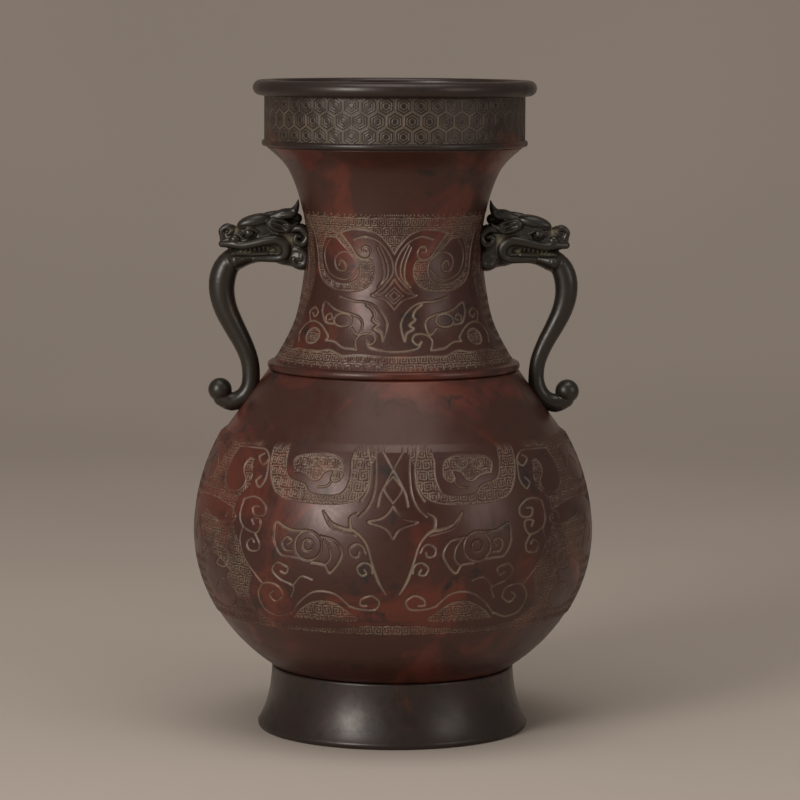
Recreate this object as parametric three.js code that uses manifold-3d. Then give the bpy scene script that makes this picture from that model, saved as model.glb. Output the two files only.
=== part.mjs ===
// A hu jar in cast bronze with two beast-head handles, in millimetres, +Z up.
// The origin is the centre of the foot's resting circle, the handles lie along +X and -X.
// The jar is cast in sections that lap and are soldered: foot, belly, neck and mouth collar.
// A plate closes the foot, and each handle is held by two rivets through the wall.
import * as THREE from "three";
import { mergeVertices } from "three/addons/utils/BufferGeometryUtils.js";
import Module from "manifold-3d";

const wasm = await Module();
wasm.setup();

// Driving dimensions
const wall = 4; // thickness of the cast wall
const seam = 0.3; // gap left between two sections that meet
const turns = 36; // facets round the jar
const lapHeight = 7; // how far a section's lap reaches into the next
const lapWall = 2; // thickness of that lap

const footTopZ = 38.5;
const footRestRadius = 83;
const footWaistRadius = 74.8;
const footRestWidth = 7; // width of the ring that the jar stands on

const bellyMiddleZ = 122;
const bellyRadius = 123.4;
const bellyRise = 123.4; // half height of the upper belly's curve
const bellyDrop = 104; // half height of the lower belly's curve
const bellyStartZ = footTopZ + seam;
const friezeLowZ = 74; // step under the belly's frieze
const friezeHighZ = 183.5; // step over the belly's frieze
const friezeStep = 1; // how far the frieze stands proud
const shoulderLowZ = 186.5;
const shoulderLowRadius = 102.9;

const neckBaseZ = 222.5; // seam between shoulder and neck
const neckBaseRadius = 76.2;
const cordRise = 1.6; // the rounded cord at the foot of the neck
const cordHeight = 4.6;
const neckWaistZ = 293;
const neckWaistRadius = 54.4;
const neckQuarterRadius = 60.6; // halfway down the neck's frieze
const throatZ = 319; // top of the neck's frieze
const throatRadius = 56.2;
const flareZ = 345;
const flareRadius = 65;

const collarZ = 359.5; // underside of the collar's flange
const collarFlangeRadius = 81.6;
const collarFlangeHeight = 4;
const collarRadius = 80;
const collarWall = 5;
const lipRadius = 87;
const lipHeight = 9.4;
const jarHeight = 400;

const plateThickness = 3;
const plateZ = 20; // underside of the plate inside the foot
const plateLedge = 5; // width of the ledge that carries it
const solderLeg = 3; // leg of a solder bead

const rivetRadius = 3;
const rivetHeadRadius = 5.5;
const rivetHeadHeight = 2;
const rivetReach = 11; // how far a rivet goes into a handle
const rivetClearance = 0.3;
const upperRivetZ = 297;
const lowerRivetZ = 204.5;

const headHalfWidth = 12; // of the beast's skull, along Y
const hornTip = { x: 60.4, z: 326 };
const trunkGirth = { left: 1, right: 0.86 }; // the right scroll is a little slimmer
const ballRadius = 7.4; // of the scroll's end

const bronzeRed = new THREE.MeshStandardMaterial({ color: 0x4a1d14, roughness: 0.4, metalness: 0.6 });
const bronzeDark = new THREE.MeshStandardMaterial({ color: 0x2b1a16, roughness: 0.42, metalness: 0.6 });
const bronzeBlack = new THREE.MeshStandardMaterial({ color: 0x17150f, roughness: 0.38, metalness: 0.6 });
const solderGrey = new THREE.MeshStandardMaterial({ color: 0x57534c, roughness: 0.6, metalness: 0.7 });

// A closed solid from a three.js geometry.
function solid(geometry) {
  const bare = geometry.index ? geometry.toNonIndexed() : geometry.clone();
  for (const name of Object.keys(bare.attributes)) if (name !== "position") bare.deleteAttribute(name);
  const merged = mergeVertices(bare, 1e-4);
  const mesh = new wasm.Mesh({
    numProp: 3,
    vertProperties: merged.attributes.position.array,
    triVerts: new Uint32Array(merged.index.array),
  });
  return new wasm.Manifold(mesh);
}

// A three.js geometry from a closed solid.
function geometryOf(body) {
  const mesh = body.getMesh();
  const geometry = new THREE.BufferGeometry();
  geometry.setAttribute("position", new THREE.BufferAttribute(mesh.vertProperties, 3));
  geometry.setIndex(new THREE.BufferAttribute(mesh.triVerts, 1));
  geometry.computeVertexNormals();
  return geometry;
}

function join(bodies) {
  return bodies.reduce((whole, body) => whole.add(body));
}

// A joined body without the slivers that its cuts leave, true to its surface within a tolerance.
const sliver = 0.16;
function cleaned(body) {
  const pieces = body.simplify(sliver).decompose();
  return pieces.reduce((largest, piece) => (piece.volume() > largest.volume() ? piece : largest));
}

// A ring turned about Z from a closed outline of [radius, z] points, given anticlockwise.
function turned(outline) {
  const points = outline.map(([r, z]) => new THREE.Vector2(r, z));
  points.push(points[0].clone());
  const geometry = new THREE.LatheGeometry(points, turns);
  geometry.rotateX(Math.PI / 2);
  return solid(geometry);
}

// Radius of the outer surface of the belly at a height.
function bellyAt(z) {
  const half = z > bellyMiddleZ ? bellyRise : bellyDrop;
  return bellyRadius * Math.sqrt(1 - ((z - bellyMiddleZ) / half) ** 2);
}

const shoulderSlope = (shoulderLowRadius - neckBaseRadius) / (neckBaseZ - shoulderLowZ);
function shoulderAt(z) {
  return shoulderLowRadius - (z - shoulderLowZ) * shoulderSlope;
}

// The neck and throat as one smooth curve of [radius, z] from the seam to the collar.
const neckStartZ = neckBaseZ + seam;
const neckCurve = new THREE.SplineCurve([
  new THREE.Vector2(neckBaseRadius - 2, neckStartZ + cordHeight),
  new THREE.Vector2(neckQuarterRadius, (neckBaseZ + neckWaistZ) / 2 - 3),
  new THREE.Vector2(neckWaistRadius, neckWaistZ),
  new THREE.Vector2(throatRadius, throatZ),
  new THREE.Vector2(flareRadius, flareZ),
  new THREE.Vector2(collarFlangeRadius - 3, collarZ - seam),
]);
const neckSteps = 13;
const neckLine = neckCurve.getPoints(neckSteps).map((p) => [p.x, p.y]);

// Radius of the outer surface of the neck at a height.
function neckAt(z) {
  const above = neckLine.findIndex((p) => p[1] >= z);
  const [r0, z0] = neckLine[above - 1];
  const [r1, z1] = neckLine[above];
  return r0 + ((r1 - r0) * (z - z0)) / (z1 - z0);
}

// The inner side of a wall: each point of a line moved in square to the line.
function inward(line, thickness) {
  return line.map(([r, z], i) => {
    const before = line[Math.max(i - 1, 0)];
    const after = line[Math.min(i + 1, line.length - 1)];
    const along = new THREE.Vector2(after[0] - before[0], after[1] - before[1]).normalize();
    return [r - along.y * thickness, z + along.x * thickness];
  });
}

function everyOther(line) {
  return line.filter((point, i) => i % 2 === 0 || i === line.length - 1);
}

// The foot: a flared ring with a rolled edge, a ledge inside for the plate, and a flat top.
const footTopRadius = footWaistRadius;
const footBoreRadius = footTopRadius - wall;
const ledgeRadius = footBoreRadius - plateLedge;
function footRing() {
  const flare = new THREE.QuadraticBezierCurve(
    new THREE.Vector2(footRestRadius + 0.6, 3),
    new THREE.Vector2(footWaistRadius + 0.6, footTopZ / 2 - 3),
    new THREE.Vector2(footTopRadius, footTopZ),
  );
  const outside = flare.getPoints(6).map((p) => [p.x, p.y]);
  return turned([
    [footRestRadius - 1, 0],
    [footRestRadius + 0.3, 1],
    ...outside,
    [footBoreRadius, footTopZ],
    [footBoreRadius, plateZ],
    [ledgeRadius, plateZ - seam],
    [ledgeRadius, plateZ - 3],
    [footBoreRadius + 1, plateZ - 7],
    [footRestRadius - footRestWidth, 0],
  ]);
}

// The plate that closes the jar from below, resting on the foot's ledge.
function basePlate() {
  const rim = footBoreRadius - seam;
  const plate = new THREE.LatheGeometry(
    [
      new THREE.Vector2(0, plateZ),
      new THREE.Vector2(rim, plateZ),
      new THREE.Vector2(rim, plateZ + plateThickness),
      new THREE.Vector2(0, plateZ + plateThickness),
    ],
    turns,
  );
  plate.rotateX(Math.PI / 2);
  return solid(plate);
}

// Belly and shoulder in one casting. Its lower end laps into the foot.
function bellyShell() {
  const openRadius = footTopRadius - 1.6;
  const lowSteps = 4;
  const friezeSteps = 8;
  const low = [];
  for (let i = 1; i < lowSteps; i += 1) {
    const z = bellyStartZ + ((friezeLowZ - bellyStartZ) * i) / lowSteps;
    low.push([bellyAt(z) - friezeStep, z]);
  }
  const frieze = [];
  for (let i = 0; i <= friezeSteps; i += 1) {
    const z = friezeLowZ + 1 + ((friezeHighZ - friezeLowZ - 1) * i) / friezeSteps;
    frieze.push([bellyAt(z), z]);
  }
  const outside = [
    [openRadius, bellyStartZ],
    ...low,
    [bellyAt(friezeLowZ) - friezeStep, friezeLowZ],
    ...frieze,
    [shoulderLowRadius, shoulderLowZ],
    [neckBaseRadius + 0.8, neckBaseZ],
  ];
  const inner = [[neckBaseRadius - wall, neckBaseZ]];
  const line = [
    [neckBaseRadius, neckBaseZ],
    [shoulderLowRadius, shoulderLowZ],
    ...frieze.filter((point, i) => i % 2 === 0).reverse(),
    [bellyAt(friezeLowZ - 16) - friezeStep, friezeLowZ - 16],
    [openRadius, bellyStartZ],
  ];
  const offset = inward([...line].reverse(), wall).reverse();
  inner.push(...offset.slice(1, -1));
  const lapOuter = footBoreRadius - seam;
  return turned([
    ...outside,
    ...inner,
    [lapOuter - lapWall, bellyStartZ + wall],
    [lapOuter - lapWall, bellyStartZ - lapHeight],
    [lapOuter, bellyStartZ - lapHeight],
    [lapOuter, bellyStartZ],
  ]);
}

// The neck with the cord at its foot, up to the flare under the collar. Its lower end laps into the shoulder.
function neckShell() {
  const cord = [
    [neckBaseRadius, neckStartZ],
    [neckBaseRadius + cordRise, neckStartZ + cordHeight * 0.3],
    [neckBaseRadius + cordRise * 0.6, neckStartZ + cordHeight * 0.75],
  ];
  const inside = everyOther(inward(neckLine, wall)).reverse();
  const lapOuter = neckBaseRadius - wall - seam;
  return turned([
    ...cord,
    ...neckLine,
    [neckLine.at(-1)[0] - wall, collarZ - seam],
    ...inside.slice(1, -1),
    [lapOuter - lapWall, neckStartZ + 1],
    [lapOuter - lapWall, neckStartZ - lapHeight],
    [lapOuter, neckStartZ - lapHeight],
    [lapOuter, neckStartZ],
  ]);
}

// The mouth: flange, upright band and a rolled lip.
function mouthCollar() {
  const lipMiddleZ = jarHeight - lipHeight / 2;
  const lipMiddleRadius = lipRadius - lipHeight / 2;
  const roll = [];
  const rollSteps = 5;
  for (let i = 0; i <= rollSteps; i += 1) {
    const angle = -Math.PI / 2 + (Math.PI * i) / rollSteps;
    const r = lipMiddleRadius + (lipHeight / 2) * Math.cos(angle);
    roll.push([r, lipMiddleZ + (lipHeight / 2) * Math.sin(angle)]);
  }
  const throat = neckLine.at(-1)[0] - wall;
  const boreRadius = collarRadius - collarWall;
  return turned([
    [collarFlangeRadius - 2.5, collarZ],
    [collarFlangeRadius, collarZ + 1.4],
    [collarFlangeRadius, collarZ + collarFlangeHeight - 1],
    [collarRadius, collarZ + collarFlangeHeight],
    [collarRadius, lipMiddleZ - lipHeight / 2],
    ...roll,
    [boreRadius + 2, jarHeight],
    [boreRadius, jarHeight - 2],
    [boreRadius, collarZ + 5],
    [throat, collarZ],
  ]);
}

// A bead of solder in the corner between a lap and the wall that it laps, inside the jar.
function solderBead(cornerRadius, cornerZ, upward) {
  const leg = solderLeg * (upward ? 1 : -1);
  const corner = [cornerRadius - seam, cornerZ];
  const along = [cornerRadius - seam, cornerZ + leg];
  const across = [cornerRadius - seam - solderLeg, cornerZ];
  return turned(upward ? [corner, along, across] : [corner, across, along]);
}

// A body swept along points {x, y, z, r}, round in section and closed at both ends.
function swept(stations, sides = 10, steps = 24, flatten = 1) {
  const path = new THREE.CatmullRomCurve3(stations.map((s) => new THREE.Vector3(s.x, s.y ?? 0, s.z)));
  const girth = new THREE.SplineCurve(stations.map((s, i) => new THREE.Vector2(i, s.r)));
  const points = [];
  const faces = [];
  for (let i = 0; i <= steps; i += 1) {
    const centre = path.getPoint(i / steps);
    const along = path.getTangent(i / steps);
    const radius = girth.getPoint(i / steps).y;
    const side = new THREE.Vector3(0, 1, 0);
    side.addScaledVector(along, -side.dot(along)).normalize();
    const up = new THREE.Vector3().crossVectors(along, side);
    for (let j = 0; j < sides; j += 1) {
      const angle = (2 * Math.PI * j) / sides;
      const point = centre.clone();
      point.addScaledVector(side, radius * flatten * Math.cos(angle));
      point.addScaledVector(up, radius * Math.sin(angle));
      points.push(point.x, point.y, point.z);
    }
  }
  for (let i = 0; i < steps; i += 1)
    for (let j = 0; j < sides; j += 1) {
      const a = i * sides + j;
      const b = i * sides + ((j + 1) % sides);
      faces.push(a, b, b + sides, a, b + sides, a + sides);
    }
  const ends = [path.getPoint(0), path.getPoint(1)];
  ends.forEach((end, n) => {
    const middle = points.length / 3;
    points.push(end.x, end.y, end.z);
    const first = n === 0 ? 0 : steps * sides;
    for (let j = 0; j < sides; j += 1) {
      const a = first + j;
      const b = first + ((j + 1) % sides);
      faces.push(...(n === 0 ? [middle, b, a] : [middle, a, b]));
    }
  });
  const geometry = new THREE.BufferGeometry();
  geometry.setAttribute("position", new THREE.Float32BufferAttribute(points, 3));
  geometry.setIndex(faces);
  const body = solid(geometry);
  if (body.volume() > 0) return body;
  geometry.setIndex([...faces].reverse());
  return solid(geometry);
}

// An egg-shaped lump of the modelling, tilted about Y by an angle in degrees.
function lump(x, y, z, rx, ry, rz, tilt = 0) {
  const geometry = new THREE.SphereGeometry(1, 8, 6);
  geometry.scale(rx, ry, rz);
  geometry.rotateY(THREE.MathUtils.degToRad(tilt));
  geometry.translate(x, y, z);
  return solid(geometry);
}

// A round bar between two points, with the radius at each end.
function bar(from, to, radius, endRadius = radius, sides = 10) {
  const axis = new THREE.Vector3().subVectors(to, from);
  const geometry = new THREE.CylinderGeometry(endRadius, radius, axis.length(), sides);
  geometry.applyQuaternion(new THREE.Quaternion().setFromUnitVectors(
    new THREE.Vector3(0, 1, 0),
    axis.clone().normalize(),
  ));
  const middle = new THREE.Vector3().addVectors(from, to).multiplyScalar(0.5);
  geometry.translate(middle.x, middle.y, middle.z);
  return solid(geometry);
}

// The scroll that the beast holds in its mouth: down, in to the shoulder and out into a curled end.
function scroll(girth) {
  const g = girth;
  return swept(
    [
      { x: 88, z: 292.5, r: 5.2 * g },
      { x: 95.5, z: 292, r: 6.4 * g },
      { x: 102.2, z: 286.5, r: 7.6 * g },
      { x: 105.6, z: 278.5, r: 8.1 * g },
      { x: 106, z: 269, r: 7.8 * g },
      { x: 103.6, z: 259, r: 7.2 * g },
      { x: 98.8, z: 248.8, r: 6.5 * g },
      { x: 93.4, z: 238.6, r: 5.9 * g },
      { x: 89.2, z: 228, r: 5.4 * g },
      { x: 88, z: 218, r: 5.3 * g },
      { x: 89, z: 210.6, r: 5.3 },
      { x: 93.2, z: 204.4, r: 5.4 },
      { x: 99.8, z: 202, r: 5.6 },
      { x: 105.4, z: 205, r: 5.2 },
    ],
    9,
    26,
  );
}

// One side of what the head has in pairs: brow, eye, ear, lip, nostril and mane curls.
function pairedFeatures(side) {
  const w = headHalfWidth * side;
  return [
    lump(87, w * 0.58, 311.5, 6.6, 4.4, 3.6, 14), // brow
    lump(89.6, w * 0.74, 306.8, 2.9, 2.4, 2.4), // eye
    lump(73.5, w * 0.86, 311.6, 8.4, 3.2, 4.2, -8), // ear
    lump(100.6, w * 0.42, 307.4, 5.2, 4.4, 5), // nostril
    swept(
      [
        { x: 102.5, y: w * 0.4, z: 299.5, r: 2.6 },
        { x: 93, y: w * 0.66, z: 299.6, r: 3 },
        { x: 83, y: w * 0.74, z: 301.6, r: 3.4 },
        { x: 74, y: w * 0.78, z: 301.4, r: 3.8 },
        { x: 69.4, y: w * 0.74, z: 296, r: 3.8 },
        { x: 73, y: w * 0.62, z: 290.8, r: 2.8 },
      ],
      7,
      10,
    ), // lip, curling round the corner of the mouth
    lump(61.8, w * 0.72, 301, 5.4, 4, 5.6), // upper mane curl
    lump(61.6, w * 0.62, 290, 6, 4.4, 5.2, 20), // lower mane curl
    bar(
      new THREE.Vector3(72, w * 0.42, 314),
      new THREE.Vector3(hornTip.x, w * 0.55, hornTip.z),
      4.2,
      0.5,
      8,
    ), // horn
  ];
}

// The beast's head in one piece: skull, snout, jaw and the paired features, with the mouth cut open.
function beastHead() {
  const w = headHalfWidth;
  const skull = [
    lump(82, 0, 308, 17.5, w * 0.84, 10.4, 6),
    lump(66, 0, 300.5, 14.5, w * 0.92, 16, 0), // back of the head
    lump(101, 0, 303, 6.6, w * 0.68, 8, 0), // nose
    lump(90, 0, 302, 14, w * 0.66, 6, 0), // snout
    lump(57, 0, 297, 8, w * 0.86, 15, 0), // root against the neck
    swept(
      [
        { x: 57, z: 290, r: 8 },
        { x: 67, z: 291.5, r: 5.4 },
        { x: 78, z: 291.8, r: 3.8 },
        { x: 88, z: 291, r: 4.4 },
        { x: 97, z: 289, r: 6.4 },
      ],
      9,
      8,
      1.5,
    ), // jaw
    bar(new THREE.Vector3(74, 0, 316), new THREE.Vector3(60, 0, 318.5), 3.6, 2.2, 8), // crest
  ];
  const gape = lump(85.5, 0, 295.8, 12, w * 1.4, 1.7, 0);
  return join([...skull, ...pairedFeatures(1), ...pairedFeatures(-1)]).subtract(gape);
}

// The rivets' lines, from inside the jar out into the handle at +X.
const upperRivet = {
  from: new THREE.Vector3(neckAt(upperRivetZ) - wall, 0, upperRivetZ),
  out: new THREE.Vector3(1, 0, 0),
};
const shoulderOut = new THREE.Vector3(1, 0, shoulderSlope).normalize();
const lowerRivet = {
  from: new THREE.Vector3(shoulderAt(lowerRivetZ), 0, lowerRivetZ).addScaledVector(shoulderOut, -wall),
  out: shoulderOut,
};
const lowerRivetReach = 5;

function rivetHole({ from, out }) {
  const start = from.clone().addScaledVector(out, -4);
  const end = from.clone().addScaledVector(out, wall + 4);
  return bar(start, end, rivetRadius + rivetClearance);
}

function rivet({ from, out }, reach) {
  const sag = from.x - Math.sqrt(from.x ** 2 - rivetHeadRadius ** 2);
  const seat = from.clone().addScaledVector(out, -sag - seam);
  const crown = seat.clone().addScaledVector(out, -rivetHeadHeight);
  const head = bar(crown, seat, rivetHeadRadius * 0.8, rivetHeadRadius);
  const root = seat.clone().addScaledVector(out, -0.5);
  const tip = from.clone().addScaledVector(out, wall + reach);
  return head.add(bar(root, tip, rivetRadius));
}

// Everything inside the jar's outer surface grown by the seam, so that a handle can be fitted to it.
function jarGrown() {
  const neck = neckLine.map(([r, z]) => [r + seam, z]);
  const outline = [
    [0, shoulderLowZ],
    [shoulderLowRadius + seam / shoulderOut.x, shoulderLowZ],
    [neckBaseRadius + 0.8 + seam / shoulderOut.x, neckBaseZ],
    [neckBaseRadius + cordRise + seam, neckStartZ + cordHeight * 0.3],
    ...neck,
    [0, collarZ],
  ];
  const points = outline.map(([r, z]) => new THREE.Vector2(r, z));
  const geometry = new THREE.LatheGeometry(points, turns);
  geometry.rotateX(Math.PI / 2);
  return solid(geometry);
}

function handle(girth) {
  const whole = beastHead()
    .add(scroll(girth))
    .add(lump(106.4, 0, 208.8, ballRadius, ballRadius * 0.9, ballRadius));
  const upperEnd = upperRivet.from.clone().addScaledVector(upperRivet.out, wall + rivetReach + 1);
  const lowerEnd = lowerRivet.from.clone().addScaledVector(lowerRivet.out, wall + lowerRivetReach + 0.6);
  return cleaned(whole
    .subtract(jarGrown())
    .subtract(bar(upperRivet.from, upperEnd, rivetRadius + rivetClearance))
    .subtract(bar(lowerRivet.from, lowerEnd, rivetRadius + rivetClearance)));
}

const jar = new THREE.Group();
function place(name, body, material, parent = jar) {
  const mesh = new THREE.Mesh(geometryOf(body), material);
  mesh.name = name;
  parent.add(mesh);
}

const bothSides = (body) => body.add(body.rotate([0, 0, 180]));

place("foot_ring", footRing(), bronzeDark);
place("base_plate", basePlate(), bronzeDark);
place("belly_shell", cleaned(bellyShell().subtract(bothSides(rivetHole(lowerRivet)))), bronzeRed);
place("neck_shell", cleaned(neckShell().subtract(bothSides(rivetHole(upperRivet)))), bronzeRed);
place("mouth_collar", mouthCollar(), bronzeDark);
place("solder_base_plate", solderBead(footBoreRadius, plateZ + plateThickness + seam, true), solderGrey);
place("solder_foot_joint", solderBead(footBoreRadius, bellyStartZ - lapHeight - seam, false), solderGrey);
place("solder_neck_joint", solderBead(neckBaseRadius - wall, neckStartZ - lapHeight - seam, false), solderGrey);

const sides = { right: 0, left: Math.PI };
for (const [side, turn] of Object.entries(sides)) {
  const group = new THREE.Group();
  group.rotation.z = turn;
  jar.add(group);
  place(`handle_${side}`, handle(trunkGirth[side]), bronzeBlack, group);
  place(`rivet_upper_${side}`, rivet(upperRivet, rivetReach), bronzeDark, group);
  place(`rivet_lower_${side}`, rivet(lowerRivet, lowerRivetReach), bronzeDark, group);
}

export default jar;
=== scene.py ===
"""A hu wine jar in patinated cast bronze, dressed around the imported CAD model.

Sizes are in millimetres until a mesh is made, and then in metres, in the frame of the CAD model.
Ornament is real relief: each shell of the jar is turned from its profile, and drawn strokes and
spiral grounds press into its surface. The mask on the front is mirrored left to right and repeated
on the back.
"""
import math

import bpy
import numpy as np
from mathutils import Matrix, Vector


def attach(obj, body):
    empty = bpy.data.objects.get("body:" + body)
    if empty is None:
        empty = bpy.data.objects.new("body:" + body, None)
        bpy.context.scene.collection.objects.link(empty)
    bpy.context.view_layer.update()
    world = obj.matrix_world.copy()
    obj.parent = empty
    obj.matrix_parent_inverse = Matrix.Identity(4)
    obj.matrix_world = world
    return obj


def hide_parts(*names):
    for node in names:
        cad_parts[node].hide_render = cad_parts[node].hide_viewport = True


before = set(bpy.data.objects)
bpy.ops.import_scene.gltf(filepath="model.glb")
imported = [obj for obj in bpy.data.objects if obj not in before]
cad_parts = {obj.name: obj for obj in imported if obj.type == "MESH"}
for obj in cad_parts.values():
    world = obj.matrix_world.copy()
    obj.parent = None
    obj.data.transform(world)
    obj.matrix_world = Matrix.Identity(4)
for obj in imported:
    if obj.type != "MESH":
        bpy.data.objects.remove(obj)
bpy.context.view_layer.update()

# Sizes of the jar, the same as in the CAD model
WALL = 4.0
FOOT_TOP_Z = 38.5
FOOT_REST_RADIUS = 83.0
FOOT_WAIST_RADIUS = 74.8
FOOT_REST_WIDTH = 7.0
BELLY_MIDDLE_Z = 122.0
BELLY_RADIUS = 123.4
BELLY_DROP = 104.0
FRIEZE_LOW_Z = 74.0
FRIEZE_HIGH_Z = 183.5
FRIEZE_STEP = 1.0
SHOULDER_LOW = (102.9, 186.5)
NECK_BASE = (76.2, 222.5)
SEAM = 0.3
COLLAR_Z = 359.5
COLLAR_RADIUS = 80.0
FLANGE_RADIUS = 81.6
LIP_RADIUS = 87.0
LIP_HEIGHT = 9.4
JAR_HEIGHT = 400.0
PLATE_Z = 20.0
PLATE_THICKNESS = 3.0
PLATE_LEDGE = 5.0
COLLAR_WALL = 5.0
LAP_WALL = 2.0
LAP_HEIGHT = 7.0
CORD_RISE = 1.6
CORD_HALF_HEIGHT = 2.3
NECK_POINTS = [(74.2, 227.4), (60.6, 254.75), (54.4, 293.0), (56.2, 319.0), (65.0, 345.0), (78.6, 359.2)]


def spline(points, steps):
    """Smooth curve through points, with so many steps to each stretch."""
    p = np.asarray(points, float)
    out = []
    t = np.arange(steps)[:, None] / steps
    for i in range(len(p) - 1):
        before = p[max(i - 1, 0)]
        after = p[min(i + 2, len(p) - 1)]
        a = p[i]
        b = p[i + 1]
        m = (b - before) / 2
        n = (after - a) / 2
        out.append((2 * a - 2 * b + m + n) * t**3 + (3 * b - 3 * a - 2 * m - n) * t**2 + m * t + a)
    out.append(p[-1:])
    return np.concatenate(out)


def belly_radius(z):
    half = np.where(z > BELLY_MIDDLE_Z, BELLY_RADIUS, BELLY_DROP)
    return BELLY_RADIUS * np.sqrt(1 - ((z - BELLY_MIDDLE_Z) / half) ** 2)


NECK_LINE = spline(NECK_POINTS, 24)


def neck_radius(z):
    return np.interp(z, NECK_LINE[:, 1], NECK_LINE[:, 0])


class Canvas:
    """A sheet of relief: across is mm round the jar from the middle of the front, up is height in mm.

    It covers the quarter from the front to a handle. depth is how far each point is pressed in, in mm,
    and dust is how much pale dust it holds, from 0 to 1.
    """

    def __init__(self, columns, heights, radius):
        self.columns = columns
        self.angle = np.arange(columns // 4 + 1) * (2 * math.pi / columns)
        self.up = np.asarray(heights, float)[:, None]
        self.across = (self.angle * radius)[None, :]
        shape = (len(heights), columns // 4 + 1)
        self.across = np.broadcast_to(self.across, shape).copy()
        self.up = np.broadcast_to(self.up, shape).copy()
        self.depth = np.zeros(shape)
        self.dust = np.zeros(shape)

    def distance(self, points, radius=0.0):
        """Distance from a curve through points, less the stroke's half width there."""
        p = np.asarray(points, float)
        r = np.full(len(p), radius) if np.ndim(radius) == 0 else np.asarray(radius, float)
        full = np.column_stack([p, r])
        fine = spline(full, 12) if len(full) > 2 else np.linspace(full[0], full[-1], 30)
        out = np.full(self.depth.shape, 9.0)
        rows = self.up[:, 0]
        cols = self.across[0]
        for x, y, w in fine:
            reach = w + 2.0
            i0, i1 = np.searchsorted(rows, (y - reach, y + reach))
            j0, j1 = np.searchsorted(cols, (x - reach, x + reach))
            if i0 == i1 or j0 == j1:
                continue
            part = np.hypot(self.across[i0:i1, j0:j1] - x, self.up[i0:i1, j0:j1] - y) - w
            np.minimum(out[i0:i1, j0:j1], part, out=out[i0:i1, j0:j1])
        return out

    def stroke(self, points, width=0.55, depth=0.7):
        """An engraved line with soft edges that holds dust."""
        cover = np.clip(0.5 - self.distance(points, width) / 0.5, 0, 1)
        self.depth = np.maximum(self.depth, cover * depth)
        self.dust = np.maximum(self.dust, cover)

    def area(self, points, steps=10):
        """Which points lie inside a smooth closed outline."""
        p = [tuple(q) for q in points]
        outline = spline(p + [p[0]], steps)
        inside = np.zeros(self.depth.shape, bool)
        for (x0, y0), (x1, y1) in zip(outline[:-1], outline[1:]):
            if y0 == y1:
                continue
            crosses = (y0 > self.up) != (y1 > self.up)
            inside ^= crosses & (self.across < x0 + (self.up - y0) * (x1 - x0) / (y1 - y0))
        return inside

    def ground(self, where, cell, turns=2.0, depth=0.45, dust=0.85):
        """Fills an area with squared spirals in rows, as on a thunder-pattern ground."""
        row = np.floor(self.up / cell)
        u = self.across + (row % 2) * cell / 2
        column = np.floor(u / cell)
        x = (u / cell - column) * 2 - 1
        y = (self.up / cell - row) * 2 - 1
        flip = np.where((row + column) % 2 == 0, 1.0, -1.0)
        x = x * flip
        reach = np.maximum(np.abs(x), np.abs(y))
        turn = np.arctan2(y, x) / (2 * math.pi)
        phase = (reach * turns - turn) % 1.0
        line = np.clip(1.0 - np.abs(phase - 0.5) * 4.2, 0, 1)
        line = np.clip(line * 2.2, 0, 1)
        self.depth = np.where(where, np.maximum(self.depth, 0.18 + line * depth), self.depth)
        self.dust = np.where(where, np.maximum(self.dust, line * dust), self.dust)


def whole(quarter):
    """The quarter's values all the way round: mirrored to the left, and repeated on the back."""
    front = np.concatenate([quarter[:, :0:-1], quarter[:, :-1]], axis=1)
    return np.concatenate([front, front], axis=1)


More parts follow.
